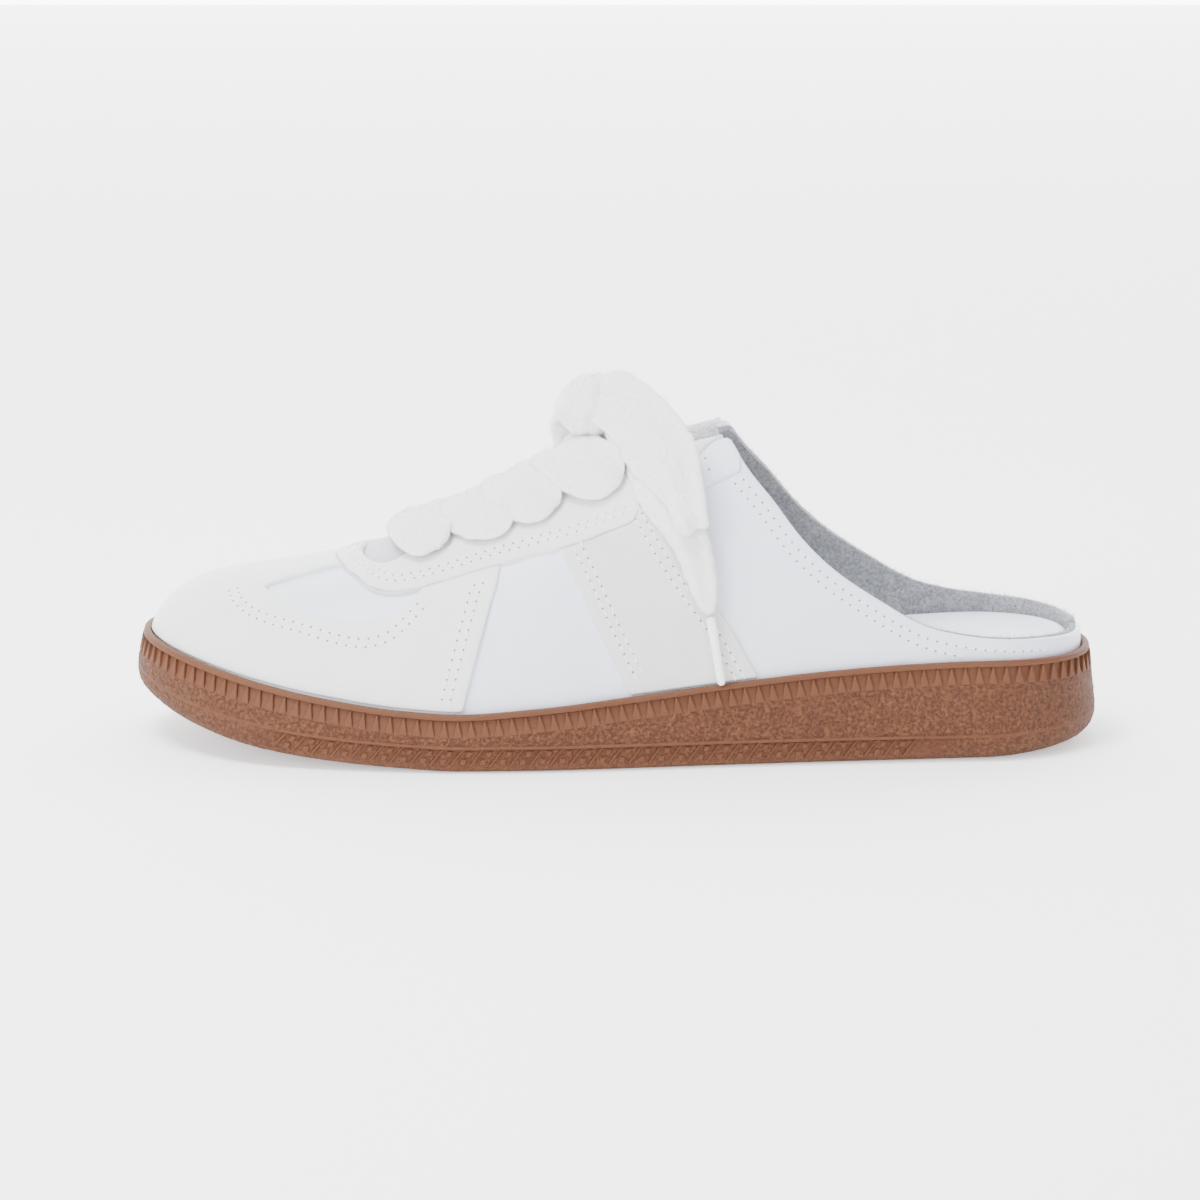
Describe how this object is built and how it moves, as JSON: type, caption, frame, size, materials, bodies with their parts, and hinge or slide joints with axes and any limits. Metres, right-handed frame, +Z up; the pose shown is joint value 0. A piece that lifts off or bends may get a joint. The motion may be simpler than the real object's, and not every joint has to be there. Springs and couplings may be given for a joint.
{
  "type": "slip-on shoe",
  "caption": "Backless left slip-on sneaker: leather upper with toe cap and side panels, wide ribbon lace tied in a bow, fleece lining and a ribbed gum rubber cup sole.",
  "frame": {"origin": "on the floor, under the middle of the box of the shoe without its free lace", "axes": "+X from toe to heel, +Y towards the inner side of the foot, +Z up"},
  "size_m": [0.2666, 0.0978, 0.1005],
  "materials": {
    "gum_rubber": "matte gum rubber with ribs and a coarse grain",
    "white_leather": "smooth, slightly glossy white leather",
    "pale_suede": "white suede with a fine nap",
    "insole_cloth": "pale brushed cloth",
    "grey_fleece": "short grey fleece pile",
    "white_ribbon": "soft white velvet ribbon",
    "clear_tip": "white plastic tip"
  },
  "bodies": {
    "root": {"outsole": "gum_rubber", "upper": "white_leather", "toe_cap": "pale_suede", "eyestay": "pale_suede", "side_panel_outer": "pale_suede", "side_panel_inner": "pale_suede", "insole": "insole_cloth", "tongue": "grey_fleece", "lace_bars": "white_ribbon", "lace_knot": "white_ribbon", "lace_loop_near": "white_ribbon", "lace_loop_far": "white_ribbon", "lace_end": "white_ribbon", "aglet": "clear_tip"}
  },
  "joints": []
}
